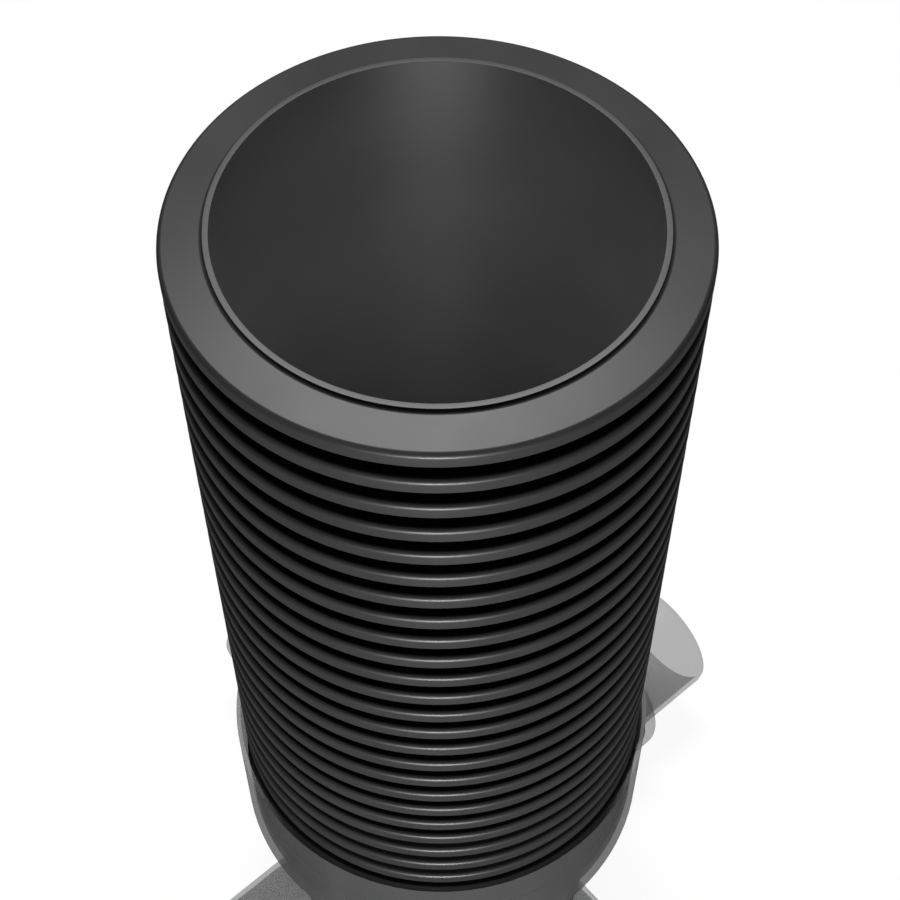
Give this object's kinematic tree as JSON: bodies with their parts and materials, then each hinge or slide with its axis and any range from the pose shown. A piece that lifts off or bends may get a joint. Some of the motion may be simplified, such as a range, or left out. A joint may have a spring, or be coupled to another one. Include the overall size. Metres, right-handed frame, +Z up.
{
  "type": "drain inspection chamber",
  "caption": "Drain inspection chamber: a black ribbed riser pipe in a see-through grey moulded base with a flow channel, an outlet spigot, side spigots and a sealed inlet socket.",
  "frame": {"origin": "on the riser's axis, at the ground under the base", "axes": "+Z up along the riser, +X towards the inlet, -X towards the outlet, side spigots along +Y and -Y"},
  "size_m": [0.5572, 0.522, 0.854],
  "materials": {
    "riser_black": "black extruded plastic with a soft sheen",
    "base_grey": "see-through smoke-grey moulded plastic",
    "seal_rubber": "matt rubber"
  },
  "bodies": {
    "root": {"riser_shaft": "riser_black", "chamber_base": "base_grey", "inlet_stub": "base_grey", "riser_seal": "seal_rubber", "inlet_seal": "seal_rubber"}
  },
  "joints": []
}
